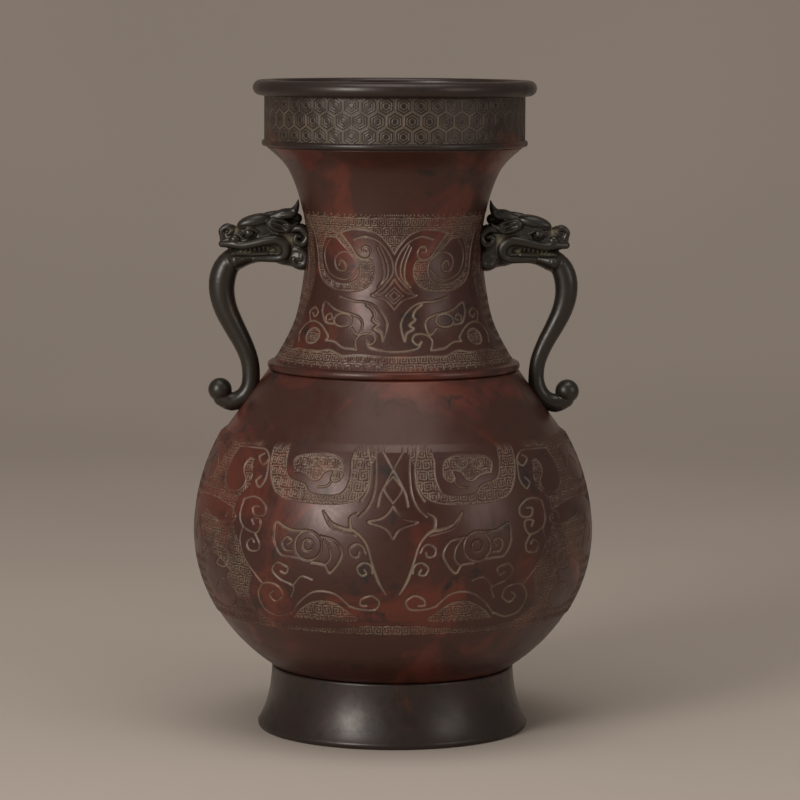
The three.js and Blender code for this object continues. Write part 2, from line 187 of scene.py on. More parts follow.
def turned(name, rows, columns, node, depth=None, dust=None):
    """A closed turned shell from (radius, z) rows given anticlockwise, with relief pressed into it.

    depth and dust hold one row for each of the first rows, all the way round, starting at -90 degrees
    from the front.
    """
    rows = np.asarray(rows, float)
    count = len(rows)
    ahead = np.roll(rows, -1, axis=0) - np.roll(rows, 1, axis=0)
    ahead /= np.linalg.norm(ahead, axis=1)[:, None] + 1e-12
    normal = np.column_stack([ahead[:, 1], -ahead[:, 0]])
    press = np.zeros((count, columns))
    if depth is not None:
        press[: len(depth)] = depth
    radius = rows[:, 0:1] - press * normal[:, 0:1]
    height = rows[:, 1:2] - press * normal[:, 1:2]
    turn = math.pi + np.arange(columns) * 2 * math.pi / columns
    x = radius * np.cos(turn)
    y = radius * np.sin(turn)
    points = np.stack([x, y, np.broadcast_to(height, x.shape)], axis=2).reshape(-1, 3) * 0.001
    i = np.arange(count)[:, None]
    j = np.arange(columns)[None, :]
    a = i * columns + j
    b = i * columns + (j + 1) % columns
    c = ((i + 1) % count) * columns + (j + 1) % columns
    d = ((i + 1) % count) * columns + j
    faces = np.stack([np.broadcast_to(q, (count, columns)) for q in (a, b, c, d)], axis=2).reshape(-1, 4)
    mesh = bpy.data.meshes.new(name)
    mesh.vertices.add(len(points))
    mesh.vertices.foreach_set("co", points.ravel())
    mesh.loops.add(len(faces) * 4)
    mesh.loops.foreach_set("vertex_index", faces.ravel().astype(np.int32))
    mesh.polygons.add(len(faces))
    mesh.polygons.foreach_set("loop_start", np.arange(len(faces), dtype=np.int32) * 4)
    mesh.update(calc_edges=True)
    length = np.concatenate([[0], np.cumsum(np.linalg.norm(np.diff(rows, axis=0), axis=1))])
    length = np.append(length, length[-1] + np.linalg.norm(rows[-1] - rows[0])) / (length[-1] + 10)
    u = np.stack([j, j + 1, j + 1, j], axis=2) / columns
    v = np.stack([length[i], length[i], length[i + 1], length[i + 1]], axis=2)
    layer = mesh.uv_layers.new(name="OFBake")
    u = np.broadcast_to(u, (count, columns, 4))
    v = np.broadcast_to(v, (count, columns, 4))
    layer.data.foreach_set("uv", np.stack([u, v], axis=3).ravel() * 0.98 + 0.01)
    store = mesh.attributes.new("dust", "FLOAT", "POINT")
    grain = np.zeros((count, columns))
    if dust is not None:
        grain[: len(dust)] = dust
    store.data.foreach_set("value", grain.ravel())
    mesh.shade_smooth()
    thing = bpy.data.objects.new(name, mesh)
    bpy.context.scene.collection.objects.link(thing)
    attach(thing, "root")
    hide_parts(node)
    return thing


def column_count(full):
    return full


# Materials


def nodes_of(name):
    material = bpy.data.materials.new(name)
    material.use_nodes = True
    tree = material.node_tree
    shader = tree.nodes["Principled BSDF"]
    return material, tree, shader


def noise(tree, scale, detail=6.0, rough=0.6, distort=0.0):
    place = tree.nodes.get("place") or tree.nodes.new("ShaderNodeTexCoord")
    place.name = "place"
    node = tree.nodes.new("ShaderNodeTexNoise")
    node.inputs["Scale"].default_value = scale
    node.inputs["Detail"].default_value = detail
    node.inputs["Roughness"].default_value = rough
    node.inputs["Distortion"].default_value = distort
    tree.links.new(place.outputs["Object"], node.inputs["Vector"])
    return node.outputs["Fac"]


def ramp(tree, value, low, high):
    node = tree.nodes.new("ShaderNodeMapRange")
    node.interpolation_type = "SMOOTHSTEP"
    node.inputs["From Min"].default_value = low
    node.inputs["From Max"].default_value = high
    tree.links.new(value, node.inputs["Value"])
    return node.outputs["Result"]


def mix(tree, factor, first, second):
    node = tree.nodes.new("ShaderNodeMix")
    node.data_type = "RGBA"
    for socket, value in zip((node.inputs[n] for n in ("Factor", "A", "B")), (factor, first, second)):
        if isinstance(value, tuple):
            socket.default_value = (*value, 1.0)
        elif isinstance(value, float):
            socket.default_value = value
        else:
            tree.links.new(value, socket)
    return node.outputs["Result"]


def product(tree, a, b):
    node = tree.nodes.new("ShaderNodeMath")
    node.operation = "MULTIPLY"
    for socket, value in zip(node.inputs, (a, b)):
        if isinstance(value, float):
            socket.default_value = value
        else:
            tree.links.new(value, socket)
    return node.outputs[0]


def bronze(name, base, patch, dark, patch_share, dark_share, dust_color, gloss):
    """Waxed, patinated bronze: mottled in three tones, dusty in the engraved lines, worn unevenly."""
    material, tree, shader = nodes_of(name)
    broad = noise(tree, 16.0, 5.0, 0.62, 0.6)
    mottle = noise(tree, 55.0, 8.0, 0.68, 0.4)
    fine = noise(tree, 420.0, 4.0, 0.6)
    color = mix(tree, ramp(tree, broad, 0.62 - patch_share, 0.74 - patch_share), base, patch)
    color = mix(tree, ramp(tree, mottle, 0.66 - dark_share, 0.80 - dark_share), color, dark)
    attribute = tree.nodes.new("ShaderNodeAttribute")
    attribute.attribute_name = "dust"
    worn = ramp(tree, noise(tree, 30.0, 6.0, 0.7), 0.30, 0.62)
    dusty = product(tree, attribute.outputs["Fac"], worn)
    color = mix(tree, dusty, color, dust_color)
    tree.links.new(color, shader.inputs["Base Color"])
    rough = tree.nodes.new("ShaderNodeMapRange")
    rough.inputs["To Min"].default_value = gloss
    rough.inputs["To Max"].default_value = gloss + 0.22
    tree.links.new(ramp(tree, mottle, 0.3, 0.75), rough.inputs["Value"])
    final = tree.nodes.new("ShaderNodeMix")
    tree.links.new(dusty, final.inputs["Factor"])
    tree.links.new(rough.outputs["Result"], final.inputs["A"])
    final.inputs["B"].default_value = 0.85
    tree.links.new(final.outputs["Result"], shader.inputs["Roughness"])
    shader.inputs["Metallic"].default_value = 0.25
    shader.inputs["Coat Weight"].default_value = 0.25
    shader.inputs["Coat Roughness"].default_value = 0.3
    bump = tree.nodes.new("ShaderNodeBump")
    bump.inputs["Strength"].default_value = 0.25
    bump.inputs["Distance"].default_value = 0.0004
    tree.links.new(product(tree, fine, mottle), bump.inputs["Height"])
    tree.links.new(bump.outputs["Normal"], shader.inputs["Normal"])
    return material


RED = bronze("bronze_red", (0.055, 0.016, 0.010), (0.120, 0.026, 0.014), (0.016, 0.009, 0.008),
             0.10, 0.10, (0.26, 0.20, 0.14), 0.30)
DARK = bronze("bronze_dark", (0.024, 0.013, 0.010), (0.075, 0.020, 0.011), (0.011, 0.008, 0.007),
              0.04, 0.14, (0.17, 0.13, 0.09), 0.32)
BLACK = bronze("bronze_black", (0.022, 0.017, 0.012), (0.050, 0.022, 0.013), (0.008, 0.007, 0.006),
               0.02, 0.10, (0.20, 0.17, 0.10), 0.26)
SOLDER = bronze("solder", (0.16, 0.15, 0.135), (0.12, 0.11, 0.10), (0.07, 0.065, 0.06), 0.05, 0.05,
                (0.2, 0.18, 0.15), 0.45)


# Ornament. Points are (mm round the jar from the middle of the mask, height in mm).


def draw_belly(c):
    """Half of the mask on the belly, with horns above, eyes, and a dragon towards the handle."""
    field = [(88, 190), (86, 176), (80, 163), (71, 156), (54, 154), (34, 154), (22, 157), (16, 164),
             (14, 175), (16, 190)]
    horn = [(75, 190), (73, 175), (68, 167), (57, 164), (51, 159), (33, 159), (27, 167), (27, 177), (30, 190)]
    cap = [(65, 171), (67, 177), (60, 180), (43, 181), (34, 178), (32, 171), (35, 167), (39, 168),
           (38, 173), (44, 172),
           (47, 168), (51, 167), (57, 170)]
    arch = [(64, 84), (60, 88), (54, 92), (47, 95), (37, 95), (30, 91), (24, 84)]
    side = [(196, 190), (104, 190), (102, 176), (98, 162), (106, 153), (109, 140), (103, 128), (98, 118),
            (92, 108),
            (96, 99), (97, 88), (84, 80), (72, 77), (72, 60), (196, 60)]
    low = c.up < 79.5 + 2.0 * np.cos(c.across / 19)
    in_field = c.area(field)
    in_horn = c.area(horn)
    in_cap = c.area(cap)
    in_arch = c.area(arch)
    in_side = c.area(side, steps=6)
    dragon = c.area([(122, 182), (127, 173), (127, 162), (119, 155), (108, 155), (102, 162), (108, 170),
                     (106, 176),
                     (96, 173), (90, 160), (86, 168), (88, 182)])
    body = c.area([(110, 146), (135, 150), (160, 148), (178, 138), (182, 122), (170, 112), (152, 112),
                   (146, 122),
                   (156, 132), (150, 138), (130, 138), (112, 134)])
    tail = c.area([(112, 108), (128, 116), (146, 106), (150, 94), (138, 84), (120, 84), (110, 94),
                   (118, 102)])
    crest = c.area([(140, 180), (168, 180), (176, 168), (166, 158), (150, 160), (142, 168)])
    ground = (in_field & ~in_horn) | in_cap | in_arch | low
    ground |= in_side & ~dragon & ~body & ~tail & ~crest
    c.ground(ground, cell=6.2)
    for outline in (field, horn, cap, arch):
        c.stroke(outline + [outline[0]], 0.4)
    fine = 0.4
    # Rhombus and crossing straps between the horns
    c.stroke([(0, 153), (3, 149), (7, 146), (14.5, 144), (7, 141.5), (3, 139), (0, 134.5)], 0.55)
    c.stroke([(7, 184), (3, 178), (0, 173.5)], fine)
    c.stroke([(0, 173.5), (3.6, 167.5), (7.4, 160.3), (9, 153)], 0.5)
    c.stroke([(0, 170), (3.5, 166), (5.6, 162.8), (3.5, 159), (0, 155)], fine)
    c.stroke([(11.5, 184), (10.5, 172), (11.5, 160), (15, 152), (20, 147)], fine)
    c.stroke([(16.5, 184), (14, 174), (15, 163), (19, 156)], 0.5)
    # Horn's inner hook
    c.stroke([(38, 168), (41, 164), (47, 163)], fine)
    c.stroke([(41, 177), (45, 174), (50, 177), (47, 179)], 0.3)
    c.stroke([(60, 177), (56, 174), (52, 177), (55, 179)], 0.3)
    # Eye with its leaf outside and crescent inside
    ring = [(math.cos(a), math.sin(a)) for a in np.linspace(0, 2 * math.pi, 17)]
    c.stroke([(50.5 + 8.6 * x, 128.6 + 8.6 * y) for x, y in ring], 0.5)
    c.stroke([(50.5 + 3.4 * x, 128.9 + 3.4 * y) for x, y in ring], 0.45)
    c.stroke([(51.5, 137.5), (60, 137), (66, 138.5), (72.5, 141), (73.5, 135), (73, 129.5), (68.4, 122.5),
              (61, 121.6),
              (54.5, 121)], 0.5)
    c.stroke([(60.5, 125), (65.4, 125.4), (67.4, 129.9), (64.2, 133), (61, 131), (63.3, 128.8)], fine)
    c.stroke([(42.5, 134.5), (33.8, 132.2), (29.5, 124.1), (36.5, 113.5), (40.7, 118), (48, 119)], 0.6)
    c.stroke([(40.5, 133), (37, 128), (36.4, 122), (39.5, 118)], fine)
    # Forked line from the brow down to the nose, with two curls
    c.stroke([(42, 149.5), (36, 142.5), (28.6, 139.6), (22.5, 138.5), (15.5, 131.4), (12, 120),
              (8.6, 109.5), (4, 101)],
             [0.2, 0.7, 0.9, 0.9, 0.6, 0.6, 0.8, 0.3])
    c.stroke([(42, 149), (36.8, 140.5), (28.5, 137.5), (22, 136)], 0.35)
    c.stroke([(21, 149), (25, 146), (24.6, 140)], [0.2, 0.6, 0.9])
    c.stroke([(15.8, 126), (17.6, 129.5), (21, 131), (24.8, 128.5), (24, 124.2), (20.5, 123.5),
              (19.2, 126.4)], 0.5)
    c.stroke([(11.6, 114), (12.6, 118.4), (16.9, 120), (20.6, 117), (18.6, 112.6), (15.3, 113.4),
              (16.4, 116)], 0.5)
    # Nostril volute, arches of the jaw and the curls beside them
    c.stroke([(26, 93), (20, 91.5), (11, 91.5), (8, 96.4), (12.8, 100), (18.3, 98), (19.3, 94.2),
              (15.6, 93.8)], 0.55)
    c.stroke([(66, 86), (57, 95), (46.5, 101.4), (35, 100.6), (26, 93)], 0.5)
    c.stroke([(63.5, 97), (61.2, 103.5), (70, 107.3), (75, 112.4), (71, 117), (64.3, 115), (65.3, 111),
              (69, 112.2)], 0.5)
    c.stroke([(61, 104), (55, 110), (48, 108.5)], fine)
    c.stroke([(66, 87), (76, 83.6), (86.6, 86.5), (89, 96), (82.5, 103.3), (72.6, 103), (69.8, 97),
              (75.9, 92.9),
              (79.8, 96.2), (76.3, 99)], 0.5)
    # Ears beside the eye
    c.stroke([(101, 152), (102.4, 142.4), (98.7, 136), (88.3, 133), (84.4, 137.4), (85.3, 141.5),
              (91.3, 141), (89.6, 138)],
             0.5)
    c.stroke([(101, 152), (94, 154), (87.6, 153.2), (81.5, 149), (82.6, 144.2), (89.8, 143.7), (91.8, 148),
              (87.3, 148.8)],
             0.5)
    c.stroke([(88.3, 133), (84.4, 127.6), (85.7, 123), (92.1, 122.3), (94.6, 126.5), (90.8, 129.4),
              (88.2, 127.4)], 0.5)
    c.stroke([(98.7, 136), (100.8, 127.3), (96.8, 117), (89, 108.6), (83.6, 103)], fine)
    # Dragon between the ear and the handle
    c.stroke([(123, 181), (126.8, 173), (126.8, 162.5), (119.5, 156), (109, 156), (103.4, 162),
              (108.8, 169), (107.6, 174),
              (102.6, 175)], 0.45)
    c.stroke([(123, 181), (107, 181.5), (94.5, 181.3), (88.2, 176.5), (91.8, 173), (97.6, 176.6),
              (94, 179)], 0.45)
    c.stroke([(88.2, 176.5), (86, 166), (89.8, 160), (93.8, 163), (90.8, 166.2)], 0.45)
    c.stroke([(110, 146), (135, 150), (160, 148), (178, 138), (182, 122), (170, 112), (152, 112), (146, 122),
              (156, 132), (164, 126), (160, 121)], 0.5)
    c.stroke([(144, 140.5), (127, 136), (111, 137), (106.6, 141.2), (113.2, 144.4), (116.6, 140)], 0.45)
    c.stroke([(147, 112), (125, 121), (113, 118), (117, 109.5), (127, 110), (121, 115)], 0.45)
    c.stroke([(112, 108), (128, 116), (146, 106), (150, 94), (138, 84), (120, 84), (110, 94), (122, 101),
              (132, 96)], 0.45)
    c.stroke([(140, 180), (168, 180), (176, 168), (166, 158), (150, 160), (144, 168), (154, 173),
              (162, 168)], 0.45)


def draw_neck(c):
    """Half of the mask on the neck, between two bands of spiral ground."""
    field = [(80, 318), (72, 312), (67, 305), (63, 295), (60, 286), (55, 280), (46, 276), (35.5, 274.2),
             (24, 275),
             (17, 278), (13.6, 283.4), (13.8, 289.5), (16.5, 293), (25, 295), (33, 303), (38, 308),
             (44, 309.5)]
    coil = [(54, 306), (44, 306), (37.6, 302), (26, 293), (23.5, 286), (27, 280.5), (36, 278.5),
            (48, 281.4), (56, 288),
            (58, 298)]
    left = [(98, 318), (74, 312), (70, 300), (66, 288), (66, 276), (72, 262), (76, 250), (98, 246)]
    base = [(98, 226), (98, 246), (74, 242), (70, 237), (62, 238), (46, 238), (37, 239), (28, 236),
            (19, 236.6),
            (10, 236.2), (-8, 236.2), (-8, 226)]
    disc_angle = np.linspace(0, 2 * math.pi, 17)
    disc = [(54.5 + 6 * math.cos(a), 246.5 + 4.6 * math.sin(a)) for a in disc_angle]
    top_edge = np.interp(c.across, [0, 3.5, 10, 19, 29, 38, 46, 60, 98],
    [299, 302, 308, 311.5, 311.8, 309, 307, 311, 309])
    bands = (c.up > top_edge) & (c.up < 319.6)
    ground = (c.area(field) & ~c.area(coil)) | c.area(disc[:-1]) | c.area(base, steps=6) | bands
    dragon = c.area([(98, 300), (86, 300), (79, 292), (78, 280), (84, 270), (98, 268)])
    ground |= c.area(left, steps=6) & ~dragon
    ground &= (c.up > 229.6) & (c.up < 319.6)
    c.ground(ground, cell=5.4, depth=0.4)
    c.stroke([(0, 320.3), (30, 320.3), (98, 320.3)], 0.45, 0.5)
    c.stroke([(0, 229.2), (30, 229.2), (98, 229.2)], 0.35, 0.5)
    for outline in (field, coil, disc):
        c.stroke(outline + [outline[0]], 0.38, 0.6)
    # Horn: outer edge, inner edge and the curl that it ends in
    c.stroke([(39, 309), (29, 311.6), (19.2, 311.3), (10.3, 308), (3.2, 301.5), (0, 297)], 0.45, 0.6)
    c.stroke([(37.4, 307), (30.3, 300.5), (27, 295.5), (22.5, 293.4), (18, 294.2), (16, 297.4),
              (18, 300.7), (21.8, 301),
              (22.3, 298.3), (19.8, 297.8)], 0.45, 0.6)
    c.stroke([(28, 305.5), (22, 307.2), (17.5, 307), (10.3, 304), (5, 298.8), (1.4, 292.7), (0.9, 286.6),
              (3, 282.4),
              (8, 277.4), (13.5, 272.6)], 0.4, 0.6)
    c.stroke([(10.3, 302.5), (6.7, 295.7), (4.4, 289.6), (4.8, 283.5), (9, 278.3)], 0.3, 0.5)
    c.stroke([(11.8, 301), (8.6, 294), (7, 288), (7.3, 282), (10.8, 277)], 0.4, 0.6)
    c.stroke([(27, 293.7), (33.2, 297.6), (41, 296.4), (44.2, 292.3), (41.3, 287), (35.6, 286.4),
              (34.8, 290.4),
              (38.9, 292.5), (40.2, 289.6)], 0.4, 0.6)
    c.stroke([(49.5, 304.4), (54.2, 299), (54, 292), (48.2, 284.4), (36.3, 281), (29.3, 283),
              (25.4, 287.6)], 0.35, 0.5)
    # Star with two squares inside
    c.stroke([(0, 282), (3.8, 277.4), (8, 274), (15, 272.2), (8, 270.4), (4, 268), (0, 263.8)], 0.45, 0.6)
    c.stroke([(0, 276.9), (5.9, 272)], 0.3, 0.5)
    c.stroke([(5.9, 272), (0, 267.2)], 0.3, 0.5)
    c.stroke([(0, 274.6), (3.3, 272)], 0.3, 0.5)
    c.stroke([(3.3, 272), (0, 269.4)], 0.3, 0.5)
    # Feather over the nose
    c.stroke([(37, 270.6), (27, 268.4), (18.8, 268), (12.7, 266), (7.5, 261.5), (4.5, 256.2), (4.4, 251.8),
              (6, 245.5)],
             0.5, 0.7)
    c.stroke([(18, 266.5), (13.8, 263.4), (12.1, 260), (13.2, 257.6), (9.6, 254.7), (12, 252.4),
              (7.9, 250), (6.4, 245.5)],
             0.7, 0.6)
    # Eye, leaf with its curl, and crescent
    eye = [(33.4 + 6.4 * math.cos(a), 256.9 + 3.8 * math.sin(a)) for a in disc_angle]
    c.stroke(eye, 0.45, 0.6)
    c.stroke([(30.7, 261), (40, 262.8), (49.3, 267), (51, 263), (50.3, 259.8), (46.4, 255),
              (39.4, 254.2)], 0.5, 0.7)
    c.stroke([(40.3, 254.6), (45.3, 255.1), (46.6, 258.6), (43.3, 260.3), (41.4, 257.6),
              (43.5, 256.6)], 0.35, 0.6)
    c.stroke([(29.8, 261), (22.3, 258.8), (19.5, 254.4), (21.8, 248.8), (26.6, 252.3)], 0.5, 0.7)
    # Curl by the handle, disc's rim, wave and nostril volute
    c.stroke([(61.4, 255), (64.4, 260), (59.3, 263), (55, 260.4), (57.8, 257.7), (60.4, 259.5)], 0.45, 0.6)
    c.stroke([(66.5, 242.4), (69.5, 247), (66, 252.5), (58, 255), (49.5, 253), (42, 247.4),
              (42.2, 244.4)], 0.5, 0.7)
    c.stroke([(42.2, 244.4), (36, 244), (29, 240.7), (21, 239.9)], 0.45, 0.6)
    c.stroke([(21, 239.9), (22.6, 245.4), (19.3, 249), (13, 249.2), (10.9, 245.7), (13.7, 243.2),
              (16.2, 244.8)], 0.55, 0.7)
    c.stroke([(16, 244.9), (13.6, 241.3), (6.2, 239.6), (0, 239.3)], 0.45, 0.6)
    c.stroke([(70, 237), (62, 238.2), (46, 238), (37, 239), (28, 236), (19, 236.6), (10, 236.2),
              (0, 236.2)], 0.4, 0.6)
    c.stroke([(98, 300), (86, 300), (79, 292), (78, 280), (84, 270), (98, 268)], 0.45, 0.6)
    c.stroke([(90, 292), (84, 290), (83, 282), (88, 276), (94, 280), (90, 286)], 0.4, 0.6)


# Foot, turned with the same profile as the CAD model


def curve_of_foot():
    a = np.array([FOOT_REST_RADIUS + 0.6, 3.0])
    b = np.array([FOOT_WAIST_RADIUS + 0.6, FOOT_TOP_Z / 2 - 3])
    c = np.array([FOOT_WAIST_RADIUS, FOOT_TOP_Z])
    t = np.linspace(0, 1, 40)[:, None]
    return (1 - t) ** 2 * a + 2 * t * (1 - t) * b + t**2 * c


bore = FOOT_WAIST_RADIUS - WALL
foot_rows = np.concatenate([
    [(FOOT_REST_RADIUS - 1.0, 0.0), (FOOT_REST_RADIUS - 0.2, 0.2), (FOOT_REST_RADIUS + 0.3, 1.0)],
    curve_of_foot(),
    [(bore, FOOT_TOP_Z), (bore, PLATE_Z), (bore - PLATE_LEDGE, PLATE_Z - SEAM)],
    [(bore - PLATE_LEDGE, PLATE_Z - PLATE_THICKNESS)],
    [(bore + 1, PLATE_Z - 7), (FOOT_REST_RADIUS - FOOT_REST_WIDTH, 0.0)],
])
foot = turned("foot", foot_rows, column_count(360), "foot_ring")
foot.data.materials.append(DARK)

# Belly and shoulder
belly_columns = column_count(1920)
frieze_z = np.linspace(FRIEZE_LOW_Z + 0.8, FRIEZE_HIGH_Z, 280)
canvas = Canvas(belly_columns, frieze_z, 121.0)
draw_belly(canvas)
low_z = np.linspace(FOOT_TOP_Z + SEAM, FRIEZE_LOW_Z - 0.4, 40)
low = np.column_stack([belly_radius(low_z) - FRIEZE_STEP, low_z])
low[0, 0] = FOOT_WAIST_RADIUS - 1.6
middle = np.column_stack([belly_radius(frieze_z), frieze_z])
shoulder = np.linspace(SHOULDER_LOW, (NECK_BASE[0] + 0.8, NECK_BASE[1]), 30)
inner_z = np.linspace(NECK_BASE[1], FOOT_TOP_Z + 12, 60)
inner_r = np.where(
    inner_z > FRIEZE_HIGH_Z - 6,
    NECK_BASE[0] - WALL - (NECK_BASE[1] - inner_z) * -0.735,
    belly_radius(np.minimum(inner_z, FRIEZE_HIGH_Z)) - WALL - 1,
)
inner_r = np.minimum(inner_r, belly_radius(np.minimum(inner_z, 195.0)) - WALL - 1)
inside = np.column_stack([inner_r, inner_z])
lap = bore - SEAM
belly_rows = np.concatenate([
    middle,
    shoulder,
    inside,
    [(lap - LAP_WALL, FOOT_TOP_Z + SEAM + WALL), (lap - LAP_WALL, FOOT_TOP_Z + SEAM - LAP_HEIGHT)],
    [(lap, FOOT_TOP_Z + SEAM - LAP_HEIGHT), (lap, FOOT_TOP_Z + SEAM)],
    low,
])
belly = turned("belly", belly_rows, belly_columns, "belly_shell",
               whole(canvas.depth), whole(canvas.dust))
belly.data.materials.append(RED)

# Neck
neck_columns = column_count(1200)
neck_z = np.linspace(NECK_POINTS[0][1] + 0.6, COLLAR_Z - SEAM, 330)
canvas = Canvas(neck_columns, neck_z, 62.0)
draw_neck(canvas)
cord_turn = np.radians(np.linspace(-90, 90, 15))
cord = [(NECK_BASE[0] + CORD_RISE * math.cos(a), NECK_BASE[1] + SEAM + CORD_HALF_HEIGHT * (1 + math.sin(a)))
        for a in cord_turn]
neck_outer = np.column_stack([neck_radius(neck_z), neck_z])
neck_inner = np.column_stack([neck_radius(neck_z[::-6]) - WALL, neck_z[::-6]])
lap = NECK_BASE[0] - WALL - SEAM
neck_rows = np.concatenate([
    neck_outer,
    neck_inner,
    [(lap - LAP_WALL, NECK_BASE[1] + 1.3), (lap - LAP_WALL, NECK_BASE[1] + SEAM - LAP_HEIGHT)],
    [(lap, NECK_BASE[1] + SEAM - LAP_HEIGHT), (lap, NECK_BASE[1] + SEAM)],
    cord,
])
neck = turned("neck", neck_rows, neck_columns, "neck_shell",
              whole(canvas.depth), whole(canvas.dust))
neck.data.materials.append(RED)

# Collar with its trellis of hexagons
collar_columns = column_count(1200)
band_z = np.linspace(COLLAR_Z + 4.2, JAR_HEIGHT - LIP_HEIGHT - 0.4, 90)
canvas = Canvas(collar_columns, band_z, COLLAR_RADIUS)
PITCH = 2 * math.pi * COLLAR_RADIUS / 48


def hexagon(x, y):
    """Distance from the middle of a hexagon with flat sides left and right, 1 at its sides."""
    x = np.abs(x)
    y = np.abs(y)
    return np.maximum(x, x * 0.5 + y * 0.866)


rise = PITCH * 0.866
best = np.full(canvas.depth.shape, 9.0)
for row in range(-2, 3):
    v = canvas.up - (band_z[0] + band_z[-1]) / 2 - row * rise
    shift = 0.5 if row % 2 else 0.0
    u = (canvas.across / PITCH + shift + 0.5) % 1.0 - 0.5
    best = np.minimum(best, hexagon(u * 2, v * 2 / PITCH))
for edge, width in ((0.93, 0.045), (0.62, 0.035), (0.34, 0.035)):
    line = np.clip(1.5 - np.abs(best - edge) / width, 0, 1)
    canvas.depth = np.maximum(canvas.depth, line * 0.4)
    canvas.dust = np.maximum(canvas.dust, line)
lip_turn = np.radians(np.linspace(-90, 90, 25))
lip_middle = JAR_HEIGHT - LIP_HEIGHT / 2
lip = np.column_stack([
    LIP_RADIUS - LIP_HEIGHT / 2 + LIP_HEIGHT / 2 * np.cos(lip_turn),
    lip_middle + LIP_HEIGHT / 2 * np.sin(lip_turn),
])
throat = NECK_POINTS[-1][0] - WALL
mouth = COLLAR_RADIUS - COLLAR_WALL
collar_rows = np.concatenate([
    np.column_stack([np.full(len(band_z), COLLAR_RADIUS), band_z]),
    lip,
    [(mouth + 2.0, JAR_HEIGHT), (mouth + 0.6, JAR_HEIGHT - 0.6)],
    [(mouth, JAR_HEIGHT - 2), (mouth, COLLAR_Z + COLLAR_WALL)],
    [(throat, COLLAR_Z), (FLANGE_RADIUS - 2.5, COLLAR_Z), (FLANGE_RADIUS - 0.7, COLLAR_Z + 0.5)],
    [(FLANGE_RADIUS, COLLAR_Z + 1.4), (FLANGE_RADIUS, COLLAR_Z + 3), (FLANGE_RADIUS - 0.5, COLLAR_Z + 3.8)],
    [(COLLAR_RADIUS, COLLAR_Z + 4)],
])
collar = turned("collar", collar_rows, collar_columns, "mouth_collar",
                whole(canvas.depth), whole(canvas.dust))
collar.data.materials.append(DARK)

# Handles, sculpted as one smooth solid each and then skinned


